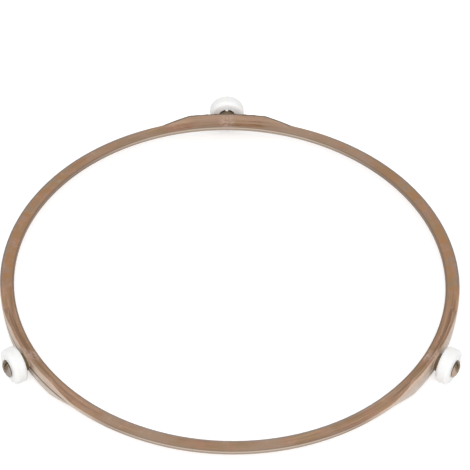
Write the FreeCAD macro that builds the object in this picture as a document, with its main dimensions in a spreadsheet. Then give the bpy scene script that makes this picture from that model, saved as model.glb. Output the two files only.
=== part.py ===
import FreeCAD, Part
import math
import os
import Sketcher

# Microwave roller ring: one moulded ring with three roller seats, and a loose roller on each seat.
# Lengths are in millimetres. The ring's axis is Z, and z = 0 is the track that the rollers run on.

SIZES = (
    ("ring_outer_radius", 95.0, "outer wall of the flat ring and of its seat walls"),
    ("ring_width", 5.8, "flat ring, from its inner to its outer wall"),
    ("ring_thickness", 2.0, "flat ring, from its lower to its upper face"),
    ("ring_edge_radius", 0.55, "rounding along the ring's edges and the seat walls' outer edges"),
    ("seat_count", 3, "roller seats, evenly spaced"),
    ("wall_thickness", 1.4, "upright wall of a seat"),
    ("wall_height", 8.4, "upright wall of a seat, half of it above the ring's middle plane"),
    ("wall_root_radius", 2.2, "hollow rounding between a seat wall and the flat ring"),
    ("wall_crest_angle", 20.4, "arc over which a seat wall keeps its full height"),
    ("wall_foot_angle", 35.0, "arc over which a seat wall stands proud of the ring"),
    ("wall_crest_radius", 4.0, "rounding where a seat wall's slopes leave its crest"),
    ("wall_foot_radius", 8.0, "rounding where a seat wall's slopes meet the ring"),
    ("roller_diameter", 15.0, "tread of a roller"),
    ("roller_width", 5.6, "roller along its axis"),
    ("roller_edge_radius", 1.6, "rounding between a roller's tread and its faces"),
    ("roller_bore", 6.9, "hole through a roller"),
    ("bore_chamfer", 0.15, "bevel at the bore's inner end, which leads it over the barbs"),
    ("stub_diameter", 5.6, "stub axle"),
    ("rest_clearance", 0.15, "under the stub where it rests low in the bore"),
    ("collar_diameter", 7.4, "collar at the root of the stub"),
    ("collar_height", 2.0, "collar, proud of the seat wall"),
    ("collar_edge_radius", 0.3, "rounding round the collar's face"),
    ("end_play", 0.3, "between a roller's face and the collar, and again at the barbs"),
    ("barb_overhang", 0.15, "how far the barbed head's radius exceeds the bore's"),
    ("barb_land", 0.3, "rim of the barbed head before its lead-in slope"),
    ("barb_length", 1.1, "barbed head, beyond the roller"),
    ("tip_diameter", 4.6, "blunt end of the barbed head"),
    ("slot_width", 1.2, "upright slot that splits the stub into two prongs"),
    ("slot_web", 1.0, "solid stub left between the collar and the slot"),
)

# Formulas shared by the pieces, each one written in the names above.
STUB_SAG = "((sizes.roller_bore - sizes.stub_diameter) / 2 - sizes.rest_clearance)"
MIDDLE_HEIGHT = "sizes.roller_diameter / 2 - %s" % STUB_SAG
COLLAR_FACE = "(sizes.ring_outer_radius + sizes.collar_height)"
ROLLER_MIDDLE = "(%s + sizes.end_play + sizes.roller_width / 2)" % COLLAR_FACE
BARB_FACE = "(%s + 2 * sizes.end_play + sizes.roller_width)" % COLLAR_FACE
TIP_END = "(%s + sizes.barb_length)" % BARB_FACE

doc = FreeCAD.newDocument("RollerRing")


def make_sheet():
    sheet = doc.addObject("Spreadsheet::Sheet", "sizes")
    for row, (alias, value, meaning) in enumerate(SIZES, start=1):
        sheet.set("A%d" % row, meaning)
        sheet.set("B%d" % row, str(value))
        sheet.setAlias("B%d" % row, alias)
    doc.recompute()
    return sheet


def origin_part(body, role):
    return next(item for item in body.Origin.OriginFeatures if item.Role == role)


def outline_sketch(body, name, plane, corners):
    """Closed outline on an origin plane. A corner is two formulas measured from the origin, and a third
    one for its rounding where it has one."""
    sketch = body.newObject("Sketcher::SketchObject", name)
    sketch.AttachmentSupport = [(origin_part(body, plane), "")]
    sketch.MapMode = "FlatFace"
    values = [[float(sketch.evalExpression(formula)) for formula in corner] for corner in corners]
    points = [FreeCAD.Vector(value[0], value[1], 0) for value in values]
    count = len(points)
    for i in range(count):
        sketch.addGeometry(Part.LineSegment(points[i], points[(i + 1) % count]))
    for i, corner in enumerate(corners):
        before = (i - 1) % count
        if len(corner) == 3:
            holder = round_corner(sketch, before, i, points[i], values[i][2], corner[2])
        else:
            sketch.addConstraint(Sketcher.Constraint("Coincident", before, 2, i, 1))
            holder = i
        for kind, formula, value in zip(("DistanceX", "DistanceY"), corner, values[i]):
            bind(sketch, Sketcher.Constraint(kind, -1, 1, holder, 1, value), formula)
    doc.recompute()
    return sketch


def bind(sketch, constraint, formula):
    index = sketch.addConstraint(constraint)
    sketch.setExpression("Constraints[%d]" % index, formula)


def round_corner(sketch, before, after, corner, radius, formula):
    """Arc between two lines of a sketch; returns the point that keeps the place of the sharp corner."""
    arriving = corner - sketch.Geometry[before].StartPoint
    leaving = sketch.Geometry[after].EndPoint - corner
    turn = arriving.getAngle(leaving)
    to_left = arriving.cross(leaving).z > 0
    cut = radius * math.tan(turn / 2)
    start = corner - arriving.normalize() * cut
    side = FreeCAD.Vector(-arriving.y, arriving.x, 0) * (radius if to_left else -radius)
    heading = math.atan2(-side.y, -side.x)
    span = (heading, heading + turn) if to_left else (heading - turn, heading)
    circle = Part.Circle(start + side, FreeCAD.Vector(0, 0, 1), radius)
    arc = sketch.addGeometry(Part.ArcOfCircle(circle, *span))
    point = sketch.addGeometry(Part.Point(corner), True)
    first, last = (1, 2) if to_left else (2, 1)
    sketch.addConstraint(Sketcher.Constraint("Tangent", before, 2, arc, first))
    sketch.addConstraint(Sketcher.Constraint("Tangent", arc, last, after, 1))
    sketch.addConstraint(Sketcher.Constraint("PointOnObject", point, 1, before))
    sketch.addConstraint(Sketcher.Constraint("PointOnObject", point, 1, after))
    bind(sketch, Sketcher.Constraint("Radius", arc, radius), formula)
    return point


def revolve(body, name, sketch, axis, angle):
    feature = body.newObject("PartDesign::Revolution", name)
    feature.Profile = sketch
    feature.ReferenceAxis = (sketch, [axis])
    feature.Midplane = True
    feature.setExpression("Angle", angle)
    doc.recompute()
    return feature


def pocket(body, name, sketch, depth=None):
    """Cut along the sketch's normal: right through one way, or a given depth shared between both ways."""
    before = body.Tip.Shape.Volume
    feature = body.newObject("PartDesign::Pocket", name)
    feature.Profile = sketch
    if depth is None:
        feature.Type = "ThroughAll"
    else:
        feature.SideType = "Symmetric"
        feature.setExpression("Length", depth)
    doc.recompute()
    if feature.Shape.Volume >= before:
        raise RuntimeError(name + " cuts nothing")
    return feature


def lies_on(edge, radius):
    """True for an edge that runs round the ring's axis at the given radius."""
    parameters = (edge.FirstParameter, (edge.FirstParameter + edge.LastParameter) / 2, edge.LastParameter)
    points = [edge.valueAt(parameter) for parameter in parameters]
    upright = math.isclose(points[0].x, points[2].x, abs_tol=1e-6)
    return not upright and all(math.isclose(math.hypot(p.x, p.y), radius, abs_tol=1e-6) for p in points)


def make_ring(sheet):
    body = doc.addObject("PartDesign::Body", "ring")
    outer = "sizes.ring_outer_radius"
    share = "360 / sizes.seat_count"
    inner = outer + " - sizes.ring_width"
    wall = outer + " - sizes.wall_thickness"
    root = "sizes.wall_root_radius"
    half_ring = "sizes.ring_thickness / 2"
    half_wall = "sizes.wall_height / 2"

    # The ring's share of one seat, centred on the seat that points along +Y. The seat wall is flush with the
    # ring's outer wall, stands as far below the ring as above it, and flows into its upper and lower faces.
    section = outline_sketch(body, "ring_section", "YZ_Plane", (
        (inner, "-" + half_ring),
        (wall, "-" + half_ring, root),
        (wall, "-" + half_wall),
        (outer, "-" + half_wall),
        (outer, half_wall),
        (wall, half_wall),
        (wall, half_ring, root),
        (inner, half_ring)))
    revolve(body, "ring_share", section, "V_Axis", share)

    # Seen along the stub, the wall's crest slopes at both ends to the ring's upper and lower faces.
    crest = outer + " * sin(sizes.wall_crest_angle / 2 * 1deg)"
    foot = outer + " * sin(sizes.wall_foot_angle / 2 * 1deg)"
    for face in ("", "-"):
        low = face + half_ring
        high = face + half_wall
        clear = face + "sizes.wall_height"
        slopes = outline_sketch(body, "slope_outline", "XZ_Plane", (
            ("-" + outer, low),
            ("-" + foot, low, "sizes.wall_foot_radius"),
            ("-" + crest, high, "sizes.wall_crest_radius"),
            (crest, high, "sizes.wall_crest_radius"),
            (foot, low, "sizes.wall_foot_radius"),
            (outer, low),
            (outer, clear),
            ("-" + outer, clear)))
        sloped = pocket(body, "slopes", slopes)

    # One rounding runs along the inner edges of the ring, and along its outer edges over the seat wall.
    radii = (sheet.ring_outer_radius, sheet.ring_outer_radius - sheet.ring_width)
    edges = ["Edge%d" % number for number, edge in enumerate(sloped.Shape.Edges, start=1)
             if any(lies_on(edge, radius) for radius in radii)]
    rounding = body.newObject("PartDesign::Fillet", "rounding")
    rounding.Base = (sloped, edges)
    rounding.setExpression("Radius", "sizes.ring_edge_radius")
    doc.recompute()

    add_stub(body)

    # The same share again for every other seat closes the ring.
    pattern = body.newObject("PartDesign::PolarPattern", "seats")
    pattern.TransformMode = "Whole shape"
    pattern.Axis = (origin_part(body, "Z_Axis"), [""])
    pattern.Angle = 360
    pattern.setExpression("Occurrences", "sizes.seat_count")
    body.Tip = pattern
    body.setExpression("Placement.Base.z", MIDDLE_HEIGHT)
    doc.recompute()
    return body


def add_stub(body):
    """Stub axle along +Y: collar, shank and barbed head, split by an upright slot into two springy prongs."""
    shank = "sizes.stub_diameter / 2"
    collar = "sizes.collar_diameter / 2"
    barb = "(sizes.roller_bore / 2 + sizes.barb_overhang)"
    root = "sizes.ring_outer_radius - sizes.wall_thickness / 2"

    stub = outline_sketch(body, "stub_section", "YZ_Plane", (
        (root, "0"),
        (TIP_END, "0"),
        (TIP_END, "sizes.tip_diameter / 2"),
        (BARB_FACE + " + sizes.barb_land", barb),
        (BARB_FACE, barb),
        (BARB_FACE, shank),
        (COLLAR_FACE, shank),
        (COLLAR_FACE, collar, "sizes.collar_edge_radius"),
        (root, collar)))
    revolve(body, "stub", stub, "H_Axis", "360")

    side = "sizes.slot_width / 2"
    slot_end = COLLAR_FACE + " + sizes.slot_web"
    slot = outline_sketch(body, "slot_outline", "XY_Plane", (
        ("-" + side, slot_end),
        (side, slot_end),
        (side, TIP_END),
        ("-" + side, TIP_END)))
    pocket(body, "slot", slot, "2 * " + barb)


def make_roller(number):
    """Plain roller with a rounded tread, turned about Y and then set on its seat."""
    body = doc.addObject("PartDesign::Body", "roller_%d" % (number + 1))
    half = "sizes.roller_width / 2"
    bore = "sizes.roller_bore / 2"
    tread = "sizes.roller_diameter / 2"
    section = outline_sketch(body, "roller_section", "YZ_Plane", (
        ("-%s + sizes.bore_chamfer" % half, bore),
        (half, bore),
        (half, tread, "sizes.roller_edge_radius"),
        ("-" + half, tread, "sizes.roller_edge_radius"),
        ("-" + half, bore + " + sizes.bore_chamfer")))
    revolve(body, "roller", section, "H_Axis", "360")
    angle = "%d * 360deg / sizes.seat_count" % number
    body.setExpression("Placement.Rotation.Angle", angle)
    body.setExpression("Placement.Base.x", "-sin(%s) * %s" % (angle, ROLLER_MIDDLE))
    body.setExpression("Placement.Base.y", "cos(%s) * %s" % (angle, ROLLER_MIDDLE))
    body.setExpression("Placement.Base.z", tread)
    doc.recompute()
    return body


def check_and_export(pieces):
    for item in doc.Objects:
        if "Invalid" in item.State or "Error" in item.State:
            raise RuntimeError("%s failed: %s" % (item.Name, item.State))
    for piece in pieces:
        if piece.Shape.isNull() or not piece.Shape.isValid() or len(piece.Shape.Solids) != 1:
            raise RuntimeError(piece.Label + " is not one valid solid")
    os.makedirs("parts", exist_ok=True)
    for piece in pieces:
        piece.Shape.exportStep("parts/%s.step" % piece.Label)


def main():
    sheet = make_sheet()
    pieces = [make_ring(sheet)]
    pieces += [make_roller(number) for number in range(int(sheet.seat_count))]
    check_and_export(pieces)
    for piece in pieces:
        print("%s: %.0f cubic millimetres" % (piece.Label, piece.Shape.Volume))


main()
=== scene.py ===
import math
from types import SimpleNamespace

import bpy
from mathutils import Matrix, Vector


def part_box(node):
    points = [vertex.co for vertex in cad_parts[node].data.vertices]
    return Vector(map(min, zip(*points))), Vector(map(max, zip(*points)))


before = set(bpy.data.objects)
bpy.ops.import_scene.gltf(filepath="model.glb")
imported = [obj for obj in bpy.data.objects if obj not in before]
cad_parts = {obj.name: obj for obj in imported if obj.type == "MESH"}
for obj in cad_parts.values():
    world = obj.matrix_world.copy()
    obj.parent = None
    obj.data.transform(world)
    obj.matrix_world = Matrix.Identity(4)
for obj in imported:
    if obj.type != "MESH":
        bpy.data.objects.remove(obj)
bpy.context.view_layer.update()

# Looks of a microwave roller ring: its two plastics, and the floor, light and camera of the photograph.
# Lengths are in metres, in the part's frame, unless a comment says millimetres. Colours are linear.

MILLIMETRE = 0.001
ROLLERS = ("roller_1", "roller_2", "roller_3")

# Places on the part. The stubs' tips are given by their distance from the ring's axis.
ring_low, ring_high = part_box("ring")
RING_WIDTH = 5.8 * MILLIMETRE
RING_THICKNESS = 2.0 * MILLIMETRE
RING_RADIUS = -ring_low.y
RING_INNER = RING_RADIUS - RING_WIDTH
RING_MIDDLE = (ring_low.z + ring_high.z) / 2
RING_TOP = RING_MIDDLE + RING_THICKNESS / 2
STUB_TIP = ring_high.y
SEATS = len(ROLLERS)

# Camera, as the photograph was taken: its height above the ring's plane, its distance, its offset from the
# ring's middle, its tilt, and how far it stands round from the seat at the back.
CAMERA_ELEVATION = math.radians(45.32)
CAMERA_DISTANCE = 10.25 * RING_RADIUS
CAMERA_OFFSET_RIGHT = 0.0170 * RING_RADIUS
CAMERA_OFFSET_UP = 0.1697 * RING_RADIUS
CAMERA_ROLL = math.radians(-1.49)
CAMERA_TURN = math.radians(-1.95)
CAMERA_CLIP = (0.01, 50.0)
SENSOR = 36.0
LENS = 180.2

# Light: an even room, and a wide panel in front and above.
ROOM_COLOUR = (1.0, 1.0, 1.0)
ROOM_STRENGTH = 0.70
KEY_PANEL = {"size": (1.2, 1.0), "place": (0.0, -1.1, 1.3), "power": 12.0}

# Floor: how far it reaches each way, its colour, and the glow that makes it read white.
FLOOR_REACH = 3.0
FLOOR_COLOUR = (0.82, 0.82, 0.82)
FLOOR_GLOW = 0.45

# Brown plastic: its colours from place to place, and how much it mirrors.
BROWN_OLIVE = (0.302, 0.190, 0.104)
BROWN_PINK = (0.355, 0.198, 0.128)
BROWN_LIGHT = (0.470, 0.308, 0.204)
# Deep streaks, and painted shade at the root of the front walls.
BROWN_DEEP = (0.204, 0.104, 0.053)
# Painted sheen: the grey of the clouds in front and behind.
BROWN_SHEEN_GREY = (0.349, 0.238, 0.167)
BROWN_DUSK = (0.262, 0.185, 0.140)
BROWN_WARM = (0.340, 0.175, 0.076)
# Painted shade along both rims.
MARGIN_SHADE_GREY = (0.205, 0.165, 0.140)
MARGIN_SHADE_BROWN = (0.200, 0.135, 0.095)
# Painted shade along the rim that lies towards the back.
FAR_SHADE_PALE = (0.290, 0.257, 0.236)
FAR_SHADE_DULL = (0.220, 0.215, 0.206)
# Painted light: the tan of lit upright rims.
LIT_RIM_TAN = (0.380, 0.315, 0.265)
# Painted shade along the back seat's crest.
CREST_EDGE_SHADE = (0.110, 0.098, 0.080)
# Painted highlight on edges.
EDGE_HIGHLIGHT_CREAM = (0.640, 0.525, 0.420)
# Painted light: the pale lit faces of the seats.
SEAT_LIT_PINK = (0.660, 0.510, 0.405)
SEAT_LIT_CREAM = (0.660, 0.575, 0.500)
# Painted light: the paler tan of lit upright walls.
LIT_WALL_TAN = (0.505, 0.342, 0.245)
STUB_PATCH_PINK = (0.578, 0.428, 0.364)
# Painted shadow round each stub.
STUB_SHADOW_BROWN = (0.190, 0.130, 0.085)
# Painted shade on the stubs, and painted light on their ends.
STUB_SHADE_DARK = (0.150, 0.100, 0.052)
STUB_END_LIT_GREY = (0.345, 0.288, 0.250)
STUB_END_LIT_TAN = (0.480, 0.340, 0.258)
# Painted shadow of the mould seam's step.
SEAM_SHADOW_DARK = (0.090, 0.056, 0.028)
BROWN_SPECULAR = 0.3

# White plastic: its colours, the share of the light that scatters inside it, and how deep each colour goes.
WHITE = (0.920, 0.920, 0.915)
# Painted light on the rollers' inner ends.
WHITE_INNER_LIT = (0.965, 0.965, 0.960)
WHITE_WARM = (0.895, 0.892, 0.880)
SCUFF_GREY = (0.810, 0.810, 0.805)
WHITE_DEPTH_SHARE = 0.3
WHITE_DEPTH = (1.5 * MILLIMETRE, 1.4 * MILLIMETRE, 1.2 * MILLIMETRE)

# Noise: its scale per metre, detail and roughness. The shift chooses the pattern. The streaks' noise is
# stretched by its own scales along the ring, across it and upwards.
PATTERN_SHIFT = (0.5, 0.0, 0.0)
STREAK_ALONG = 40.0
STREAK_ACROSS = 1000.0
STREAK_UP = 800.0
STREAK_NOISE = (1.0, 4.0, 0.65)
CLOUD_NOISE = (42.0, 3.0, 0.55)
TINT_NOISE = (120.0, 2.0, 0.5)
PATCH_NOISE = (240.0, 3.0, 0.6)
MOTTLE_NOISE = (280.0, 4.0, 0.6)
SPECKLE_NOISE = (900.0, 2.0, 0.5)
GRAIN_NOISE = (5200.0, 2.0, 0.6)
WHITE_CLOUD_NOISE = (180.0, 3.0, 0.5)
WHITE_GRAIN_NOISE = (4200.0, 2.0, 0.6)

# Relief: how strong the bump is, how deep, and what streaks and grain add to it.
BROWN_BUMP = {"Strength": 0.25, "Distance": 0.05 * MILLIMETRE}
WHITE_BUMP = {"Strength": 0.15, "Distance": 0.03 * MILLIMETRE}
STREAK_RELIEF = 0.6
GRAIN_RELIEF = 0.25

# Masks. As a value goes from the first number to the second, its mask goes from 0 to 1, or from the third
# number to the fourth. The first masks go by the value of a noise.
PINK_TINT = (0.40, 0.60)
LIGHT_STREAK = (0.51, 0.66)
DEEP_STREAK = (0.48, 0.34)
GREY_CLOUD = (0.42, 0.60)
WARM_MOTTLE = (0.42, 0.58)
DUSK_MOTTLE = (0.46, 0.32, 0.0, 0.6)
LIGHT_PATCH = (0.56, 0.76, 0.0, 0.5)
STUB_PATCH_SPECKLE = (0.40, 0.60, 0.1, 0.55)
SEAT_PATCH = (0.40, 0.75, 0.0, 0.3)
SEAT_STREAK = (0.52, 0.38, 0.0, 0.35)
BROWN_ROUGHNESS = (0.30, 0.70, 0.42, 0.56)
WHITE_ROUGHNESS = (0.30, 0.70, 0.28, 0.40)
WHITE_CLOUD = (0.45, 0.75)
WHITE_SCUFF = (0.60, 0.80, 0.0, 0.5)

# Masks by the distance to either side of the ring's middle, as a share of the ring's radius. The one for the
# margin's foot gives a height in millimetres.
STREAKS_ASIDE = (0.45, 0.85, 0.55, 0.30)
CLOUDS_ASIDE = (0.55, 0.90, 0.90, 0.15)
MOTTLE_ASIDE = (0.45, 0.85, 0.10, 0.85)
MARGIN_ASIDE = (0.30, 0.75, 0.60, 0.85)
MARGIN_FOOT_ASIDE = (0.30, 0.75, 0.7, -0.3)
MARGIN_COLOUR_ASIDE = (0.30, 0.75)
RIM_ASIDE = (0.30, 0.75, 0.80, 0.15)
FRONT_SEATS_ASIDE = (0.50, 0.70)

# Masks by the distance to the right, and to the back, as a share of the ring's radius.
RIGHT_STUB = (0.40, 0.70)
LEFT_SEAM = (-0.40, -0.70, 0.1, 1.0)
OUTER_RIM_IS_FAR = (-0.60, -0.20)
INNER_RIM_IS_FAR = (-0.60, -0.80)
FAR_COLOUR_BACK = (-0.60, -0.40)
BACK_SEAT = (0.30, 0.60, 0.0, 0.9)

# Masks by the nearness to a seat, which is 1 at each seat and -1 half-way between two.
SEAT = (-0.05, 0.50)
STREAKS_NEAR_SEAT = (0.10, 0.70)
MOTTLE_NEAR_SEAT = (0.70, 0.10, 0.25, 1.0)
ROOT_NEAR_SEAT = (0.50, 0.70)
SEAM_NEAR_SEAT = (0.56, 0.80)

# Masks by the height from the ring's middle plane, in millimetres. The margin goes from its foot to full over
# its rise.
WALL_LEVEL = (1.6, 3.0, 0.0, 0.75)
ROOT_LEVEL = (2.6, 1.2, 0.0, 0.5)
ROOT_START = (1.0, 1.1)
MARGIN_RISE = 0.2
FAR_LEVEL = (0.2, 0.6, 0.0, 0.5)
RIM_LEVEL = (0.92, 0.72)
RIM_CREAM_LEVEL = (0.30, 0.50)
SEAT_PINK_HEIGHT = (0.0, 0.8)
SLOT_HEIGHT = (-1.2, 0.4)
CREST_SHADE_LEVEL = (1.1, 1.4)
SEAM_LEVEL = (0.70, 0.20)

# Masks by the distance inwards from a rim, in millimetres. Outside the outer rim it is negative.
MARGIN_INWARDS = (1.0, 0.45)
FAR_INWARDS = (1.6, 0.5)
RIM_INWARDS = (0.5, 0.1)
STUB_INWARDS = (-0.1, -0.5)
CREST_SHADE_INWARDS = (1.1, 0.8)
CREST_SHADE_END = (-0.5, -0.1)
ROLLER_INNER_END = (-4.0, -2.5)

# Masks by the distance from a stub's tip, to its side, and from its axis, in millimetres.
RUNNING_FROM_TIP = (1.4, 2.0)
SLOT_BESIDE_STUB = (2.3, 1.3)
STUB_PATCH_BESIDE = (5.0, 1.0)
SHADOW_FROM_STUB = (8.0, 4.8, 0.0, 0.2)

# Masks by the direction that a face looks in, and edges that the bevel node finds.
UPRIGHT = (0.75, 0.45)
NOT_UPRIGHT = (1.0, 0.0)
EDGE_RADIUS = 0.3 * MILLIMETRE
EDGE_SAMPLES = 4
EDGE_LIKENESS = (0.98, 0.86, 0.0, 0.6)

# Sockets of a Mix node that mixes colours. Its sockets for other types have the same names.
MIX_SHARE = 0
MIX_FIRST = 6
MIX_SECOND = 7
MIX_RESULT = 2


class Nodes:
    """Short way to add and join the nodes of one material or of the world."""

    def __init__(self, tree):
        self.tree = tree
        tree.nodes.clear()

    def add(self, kind, inputs=None, **settings):
        node = self.tree.nodes.new(kind)
        for key, value in settings.items():
            setattr(node, key, value)
        for key, value in (inputs or {}).items():
            self.feed(node.inputs[key], value)
        return node

    def feed(self, socket, value):
        """Join a socket to another, or set its value. A colour gets an alpha of 1."""
        if isinstance(value, bpy.types.NodeSocket):
            self.tree.links.new(value, socket)
        elif socket.type == "RGBA":
            socket.default_value = (*value, 1.0)
        else:
            socket.default_value = value

    def maths(self, operation, *values):
        return self.add("ShaderNodeMath", dict(enumerate(values)), operation=operation).outputs[0]

    def product(self, first, *others):
        for other in others:
            first = self.maths("MULTIPLY", first, other)
        return first

    def length(self, first, second):
        squares = [self.product(side, side) for side in (first, second)]
        return self.maths("SQRT", self.maths("ADD", *squares))

    def millimetres(self, metres):
        return self.maths("DIVIDE", metres, MILLIMETRE)

    def split(self, vector):
        return self.add("ShaderNodeSeparateXYZ", {"Vector": vector}).outputs

    def noise(self, place, scale, detail, roughness):
        inputs = {"Vector": place, "Scale": scale, "Detail": detail, "Roughness": roughness}
        return self.add("ShaderNodeTexNoise", inputs).outputs["Fac"]

    def between(self, value, low, high, to_low=0.0, to_high=1.0):
        """Smooth change from to_low to to_high as the value goes from low to high. Low may be the larger."""
        inputs = {"Value": value, "From Min": low, "From Max": high, "To Min": to_low, "To Max": to_high}
        node = self.add("ShaderNodeMapRange", inputs, interpolation_type="SMOOTHSTEP")
        return node.outputs["Result"]

    def blend(self, share, first, second):
        """The first colour where the share is 0, the second where it is 1."""
        inputs = {MIX_SHARE: share, MIX_FIRST: first, MIX_SECOND: second}
        return self.add("ShaderNodeMix", inputs, data_type="RGBA").outputs[MIX_RESULT]


def new_material(name):
    """A material without nodes yet, and the way to add them."""
    material = bpy.data.materials.new(name)
    material.use_nodes = True
    return material, Nodes(material.node_tree)


def on_part(n):
    """Where a point lies on the part, where its noise is sampled, and a noise of streaks along the ring.

    The streaks keep their value over a long arc and change quickly across it.
    """
    at = SimpleNamespace()
    point = n.add("ShaderNodeTexCoord").outputs["Object"]
    at.x, at.y, at.z = n.split(point)
    at.radius = n.length(at.x, at.y)
    at.to_outer = n.millimetres(n.maths("SUBTRACT", RING_RADIUS, at.radius))
    at.pattern = n.add("ShaderNodeVectorMath", {0: point, 1: PATTERN_SHIFT}, operation="ADD").outputs[0]
    pattern_x, pattern_y, _ = n.split(at.pattern)
    stretched = n.add("ShaderNodeCombineXYZ", {
        "X": n.product(pattern_x, STREAK_ALONG),
        "Y": n.product(pattern_y, STREAK_ALONG),
        "Z": n.maths("ADD", n.product(at.radius, STREAK_ACROSS), n.product(at.z, STREAK_UP)),
    })
    at.streak = n.noise(stretched.outputs[0], *STREAK_NOISE)
    return at


def on_ring(n):
    """Where a point of the ring lies between its rims and among its seats and stubs.

    Distances are in millimetres. The places to the right, back and aside are shares of the ring's radius.
    """
    at = on_part(n)
    at.right = n.maths("DIVIDE", at.x, RING_RADIUS)
    at.back = n.maths("DIVIDE", at.y, RING_RADIUS)
    at.aside = n.maths("ABSOLUTE", at.right)
    at.height = n.millimetres(n.maths("SUBTRACT", at.z, RING_MIDDLE))
    at.level = n.maths("ABSOLUTE", at.height)
    at.to_inner = n.millimetres(n.maths("SUBTRACT", at.radius, RING_INNER))
    at.to_rim = n.maths("MINIMUM", at.to_outer, at.to_inner)
    at.from_tip = n.millimetres(n.maths("SUBTRACT", STUB_TIP, at.radius))

    # Nearness to a seat is the cosine of three times the angle from the back seat, found from that angle's
    # own cosine.
    cosine = n.maths("DIVIDE", at.y, at.radius)
    at.near_seat = n.product(cosine, n.maths("SUBTRACT", n.product(cosine, cosine, 4.0), 3.0))
    at.beside_stub = n.millimetres(n.product(n.maths("ARCCOSINE", at.near_seat), RING_RADIUS / SEATS))
    at.from_stub = n.length(at.beside_stub, at.level)

    in_outer_half = n.maths("LESS_THAN", at.to_outer, RING_WIDTH / 2 / MILLIMETRE)
    at.seat = n.product(in_outer_half, n.between(at.near_seat, *SEAT))
    at.off_seat = n.maths("SUBTRACT", 1.0, at.seat)
    at.outside = n.between(at.to_outer, *RIM_INWARDS)
    at.stub = n.between(at.to_outer, *STUB_INWARDS)
    at.seam = n.product(n.maths("SUBTRACT", at.outside, at.stub), n.between(at.level, *SEAM_LEVEL))
    at.normal = n.add("ShaderNodeNewGeometry").outputs["Normal"]
    at.upright = n.between(n.maths("ABSOLUTE", n.split(at.normal)["Z"]), *UPRIGHT)
    at.patch = n.noise(at.pattern, *PATCH_NOISE)
    return at


def flat_faces(n, at):
    """Brown that leans to olive or pink, with streaks that are strongest at the seats.

    In front and behind it has greyer clouds, a painted sheen, and at the two sides a warmer mottling.
    """
    tint = n.noise(at.pattern, *TINT_NOISE)
    colour = n.blend(n.between(tint, *PINK_TINT), BROWN_OLIVE, BROWN_PINK)
    flow = n.between(at.near_seat, *STREAKS_NEAR_SEAT, n.between(at.aside, *STREAKS_ASIDE), 1.0)
    colour = n.blend(n.product(flow, n.between(at.streak, *LIGHT_STREAK)), colour, BROWN_LIGHT)
    colour = n.blend(n.product(flow, n.between(at.streak, *DEEP_STREAK)), colour, BROWN_DEEP)
    # Painted sheen: greyer clouds in front and behind.
    cloud = n.between(n.noise(at.pattern, *CLOUD_NOISE), *GREY_CLOUD)
    colour = n.blend(n.product(n.between(at.aside, *CLOUDS_ASIDE), cloud), colour, BROWN_SHEEN_GREY)
    mottle = n.noise(at.pattern, *MOTTLE_NOISE)
    mottled = n.product(n.between(at.aside, *MOTTLE_ASIDE), n.between(at.near_seat, *MOTTLE_NEAR_SEAT))
    colour = n.blend(n.product(mottled, n.between(mottle, *WARM_MOTTLE)), colour, BROWN_WARM)
    colour = n.blend(n.product(mottled, n.between(mottle, *DUSK_MOTTLE)), colour, BROWN_DUSK)
    return n.blend(n.between(at.patch, *LIGHT_PATCH), colour, BROWN_LIGHT)


def seat_walls(n, at, colour):
    """Upright walls painted lit and pale, painted shade at the front ones' root, and a pink speckled patch at
    each stub.
    """
    # Painted light: upright walls at the seats paler than the flat top.
    wall = n.product(at.upright, n.between(at.level, *WALL_LEVEL), at.seat)
    colour = n.blend(wall, colour, LIT_WALL_TAN)
    # Painted shade at the root of the two front walls.
    root = n.product(n.between(at.level, *ROOT_LEVEL), n.between(at.level, *ROOT_START))
    in_front = n.product(n.between(at.aside, *FRONT_SEATS_ASIDE), n.between(at.near_seat, *ROOT_NEAR_SEAT))
    colour = n.blend(n.product(root, in_front), colour, BROWN_DEEP)
    # A pale pink speckled patch beside each stub.
    speckle = n.between(n.noise(at.pattern, *SPECKLE_NOISE), *STUB_PATCH_SPECKLE)
    stub_patch = n.product(n.between(at.beside_stub, *STUB_PATCH_BESIDE), speckle)
    return n.blend(stub_patch, colour, STUB_PATCH_PINK)


def shaded_margins(n, at, colour):
    """Flat faces with painted shade along both rims.

    The shade is grey in front and behind. At the two sides it is brown, and reaches further down over the
    rounded edge.
    """
    foot = n.between(at.aside, *MARGIN_FOOT_ASIDE)
    margin = n.product(
        n.between(at.to_rim, *MARGIN_INWARDS),
        n.between(at.aside, *MARGIN_ASIDE),
        n.between(at.level, foot, n.maths("ADD", foot, MARGIN_RISE)),
        at.off_seat)
    margin_colour = n.blend(n.between(at.aside, *MARGIN_COLOUR_ASIDE), MARGIN_SHADE_GREY, MARGIN_SHADE_BROWN)
    return n.blend(margin, colour, margin_colour)


def far_rim(n, at, colour):
    """A line of painted shade along the rim that lies towards the back: in front the inner rim, else the
    outer one.
    """
    outer = n.product(n.between(at.to_outer, *FAR_INWARDS), n.between(at.back, *OUTER_RIM_IS_FAR))
    inner = n.product(n.between(at.to_inner, *FAR_INWARDS), n.between(at.back, *INNER_RIM_IS_FAR))
    far = n.product(n.maths("MAXIMUM", outer, inner), at.off_seat, n.between(at.level, *FAR_LEVEL))
    far_colour = n.blend(n.between(at.back, *FAR_COLOUR_BACK), FAR_SHADE_PALE, FAR_SHADE_DULL)
    return n.blend(far, colour, far_colour)


def lit_rims(n, at, colour):
    """Upright rims painted a lit tan, with a painted cream highlight on their rounded edges, less at the two
    sides.
    """
    rim_colour = n.blend(n.between(at.level, *RIM_CREAM_LEVEL), LIT_RIM_TAN, EDGE_HIGHLIGHT_CREAM)
    rim = n.product(n.between(at.level, *RIM_LEVEL), n.between(at.to_rim, *RIM_INWARDS))
    lit_share = n.product(at.off_seat, n.between(at.aside, *RIM_ASIDE))
    return n.blend(n.product(rim, lit_share), colour, rim_colour)


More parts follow.
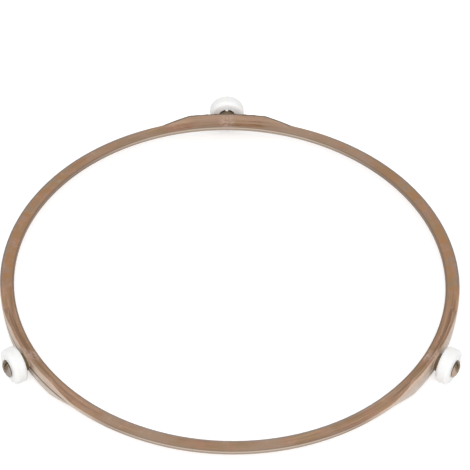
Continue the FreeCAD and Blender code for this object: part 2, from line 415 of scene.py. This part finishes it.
def seat_outsides(n, at, colour):
    """The seats' outer faces, painted palest as lit: pinkish above the middle, cream below, with painted
    shadow round the stub.
    """
    seat_colour = n.blend(n.between(at.height, *SEAT_PINK_HEIGHT), SEAT_LIT_CREAM, SEAT_LIT_PINK)
    seat_colour = n.blend(n.between(at.patch, *SEAT_PATCH), seat_colour, colour)
    seat_colour = n.blend(n.between(at.streak, *SEAT_STREAK), seat_colour, LIT_WALL_TAN)
    colour = n.blend(n.product(at.outside, at.seat), colour, seat_colour)
    # Painted shadow on the outer face round the stub.
    return n.blend(n.product(at.outside, n.between(at.from_stub, *SHADOW_FROM_STUB)), colour, STUB_SHADOW_BROWN)


def stubs(n, at, colour):
    """Stubs: painted shade where the rollers run and beside the slot; ends painted lit, grey, and tan on the
    right.
    """
    slot = n.product(n.between(at.beside_stub, *SLOT_BESIDE_STUB), n.between(at.height, *SLOT_HEIGHT))
    running = n.between(at.from_tip, *RUNNING_FROM_TIP)
    lit_end_colour = n.blend(n.between(at.right, *RIGHT_STUB), STUB_END_LIT_GREY, STUB_END_LIT_TAN)
    # Painted shade in the slot and inside the roller, painted light on the ends.
    stub_colour = n.blend(n.maths("MAXIMUM", slot, running), lit_end_colour, STUB_SHADE_DARK)
    return n.blend(at.stub, colour, stub_colour)


def sharp_edges(n, at, colour):
    """Edges that are not rounded in the shape catch the light."""
    bevel = n.add("ShaderNodeBevel", {"Radius": EDGE_RADIUS}, samples=EDGE_SAMPLES).outputs[0]
    likeness = n.add("ShaderNodeVectorMath", {0: bevel, 1: at.normal}, operation="DOT_PRODUCT")
    return n.blend(n.between(likeness.outputs["Value"], *EDGE_LIKENESS), colour, EDGE_HIGHLIGHT_CREAM)


def back_seat_crest_shade(n, at, colour):
    """Painted shade along the top outer edge of the back seat."""
    crest_shade = n.product(
        n.between(at.to_outer, *CREST_SHADE_INWARDS),
        n.between(at.upright, *NOT_UPRIGHT),
        n.between(at.level, *CREST_SHADE_LEVEL),
        n.between(at.back, *BACK_SEAT),
        n.between(at.to_outer, *CREST_SHADE_END))
    return n.blend(crest_shade, colour, CREST_EDGE_SHADE)


def shaded_mould_seam(n, at, colour):
    """The line round the outer wall where the mould's halves meet, with its step's shadow painted dark at the
    seats, mostly the left one.
    """
    dark = n.product(n.between(at.near_seat, *SEAM_NEAR_SEAT), n.between(at.right, *LEFT_SEAM))
    return n.blend(n.product(at.seam, dark), colour, SEAM_SHADOW_DARK)


BROWN_LAYERS = (
    seat_walls, shaded_margins, far_rim, lit_rims, seat_outsides, stubs, sharp_edges, back_seat_crest_shade, shaded_mould_seam)


def finish_surface(n, colour, roughness, height, bump, sockets):
    """Join colour, roughness and relief in one shader, and set its other sockets to plain values."""
    relief = n.add("ShaderNodeBump", {"Height": height, **bump}).outputs[0]
    inputs = {"Base Color": colour, "Roughness": roughness, "Normal": relief, **sockets}
    shader = n.add("ShaderNodeBsdfPrincipled", inputs)
    n.add("ShaderNodeOutputMaterial", {"Surface": shader.outputs[0]})


def brown_plastic():
    """Heat-proof brown moulding, coloured in layers, with streaks, grain and the mould's seam as relief."""
    material, n = new_material("brown_plastic_moulded")
    at = on_ring(n)
    colour = flat_faces(n, at)
    for layer in BROWN_LAYERS:
        colour = layer(n, at, colour)
    grain = n.noise(at.pattern, *GRAIN_NOISE)
    height = n.maths("ADD", n.product(at.streak, STREAK_RELIEF), n.product(grain, GRAIN_RELIEF))
    height = n.maths("SUBTRACT", height, at.seam)
    roughness = n.between(at.streak, *BROWN_ROUGHNESS)
    finish_surface(n, colour, roughness, height, BROWN_BUMP, {"Specular IOR Level": BROWN_SPECULAR})
    return material


def white_plastic():
    """Smooth white rollers: a faint warm clouding, fine scuffs round the tread, and inner ends painted whiter
    as lit.
    """
    material, n = new_material("white_plastic_smooth")
    at = on_part(n)
    cloud = n.noise(at.pattern, *WHITE_CLOUD_NOISE)
    colour = n.blend(n.between(cloud, *WHITE_CLOUD), WHITE, WHITE_WARM)
    colour = n.blend(n.between(at.streak, *WHITE_SCUFF), colour, SCUFF_GREY)
    # Painted light: inner ends whiter against the shade of the ring's wall.
    colour = n.blend(n.between(at.to_outer, *ROLLER_INNER_END), colour, WHITE_INNER_LIT)
    grain = n.noise(at.pattern, *WHITE_GRAIN_NOISE)
    roughness = n.between(at.streak, *WHITE_ROUGHNESS)
    depth = {
        "Subsurface Weight": WHITE_DEPTH_SHARE,
        "Subsurface Radius": WHITE_DEPTH,
        "Subsurface Scale": 1.0,
    }
    finish_surface(n, colour, roughness, grain, WHITE_BUMP, depth)
    return material


def dress():
    """Give the ring and the rollers their plastics."""
    brown = brown_plastic()
    white = white_plastic()
    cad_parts["ring"].material_slots[0].material = brown
    for name in ROLLERS:
        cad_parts[name].material_slots[0].material = white


def seen_directly(n):
    """1 for what the camera sees straight, in a gloss or through something clear; 0 for light on the part."""
    path = n.add("ShaderNodeLightPath").outputs
    straight_or_gloss = n.maths("MAXIMUM", path["Is Camera Ray"], path["Is Glossy Ray"])
    return n.maths("MAXIMUM", straight_or_gloss, path["Is Transmission Ray"])


def make_floor():
    """Pale floor that reads white where it is lit and keeps the shadow under the part."""
    sides = ((-1, -1), (1, -1), (1, 1), (-1, 1))
    corners = [(right * FLOOR_REACH, back * FLOOR_REACH, 0.0) for right, back in sides]
    mesh = bpy.data.meshes.new("floor")
    mesh.from_pydata(corners, [], [(0, 1, 2, 3)])
    floor = bpy.data.objects.new("floor", mesh)
    bpy.context.scene.collection.objects.link(floor)
    material, n = new_material("floor_white")
    matt = n.add("ShaderNodeBsdfDiffuse", {"Color": FLOOR_COLOUR})
    glow = n.add("ShaderNodeEmission", {"Strength": n.product(seen_directly(n), FLOOR_GLOW)})
    both = n.add("ShaderNodeAddShader", {0: matt.outputs[0], 1: glow.outputs[0]})
    n.add("ShaderNodeOutputMaterial", {"Surface": both.outputs[0]})
    mesh.materials.append(material)


def make_room():
    """Even light from all round, which the camera sees as white."""
    world = bpy.data.worlds.new("room")
    world.use_nodes = True
    bpy.context.scene.world = world
    n = Nodes(world.node_tree)
    strength = n.between(seen_directly(n), 0.0, 1.0, ROOM_STRENGTH, 1.0)
    background = n.add("ShaderNodeBackground", {"Color": ROOM_COLOUR, "Strength": strength})
    n.add("ShaderNodeOutputWorld", {"Surface": background.outputs[0]})


def make_panel(name, size, place, power):
    """Flat lamp that faces the origin."""
    light = bpy.data.lights.new(name, "AREA")
    light.shape = "RECTANGLE"
    light.size, light.size_y = size
    light.energy = power
    panel = bpy.data.objects.new(name, light)
    panel.location = place
    panel.rotation_euler = (-Vector(place)).to_track_quat("-Z", "Y").to_euler()
    bpy.context.scene.collection.objects.link(panel)


def make_camera():
    """Camera in the photograph's place, aimed by its own axes from the middle of the ring's top."""
    cos = math.cos(CAMERA_ELEVATION)
    sin = math.sin(CAMERA_ELEVATION)
    right = Vector((1, 0, 0))
    back = Vector((0, -cos, sin))
    up = Vector((0, sin, cos))
    rolled_right = right * math.cos(CAMERA_ROLL) - up * math.sin(CAMERA_ROLL)
    rolled_up = right * math.sin(CAMERA_ROLL) + up * math.cos(CAMERA_ROLL)
    pose = Matrix((rolled_right, rolled_up, back)).transposed().to_4x4()
    pose.translation = back * CAMERA_DISTANCE + right * CAMERA_OFFSET_RIGHT + up * CAMERA_OFFSET_UP
    data = bpy.data.cameras.new("camera")
    data.sensor_width = SENSOR
    data.lens = LENS
    data.clip_start, data.clip_end = CAMERA_CLIP
    camera = bpy.data.objects.new("camera", data)
    lift = Matrix.Translation((0, 0, RING_TOP))
    camera.matrix_world = lift @ Matrix.Rotation(CAMERA_TURN, 4, "Z") @ pose
    bpy.context.scene.collection.objects.link(camera)
    bpy.context.scene.camera = camera


dress()
make_floor()
make_room()
make_panel("key_panel", **KEY_PANEL)
make_camera()
bpy.context.scene.view_settings.view_transform = "Standard"
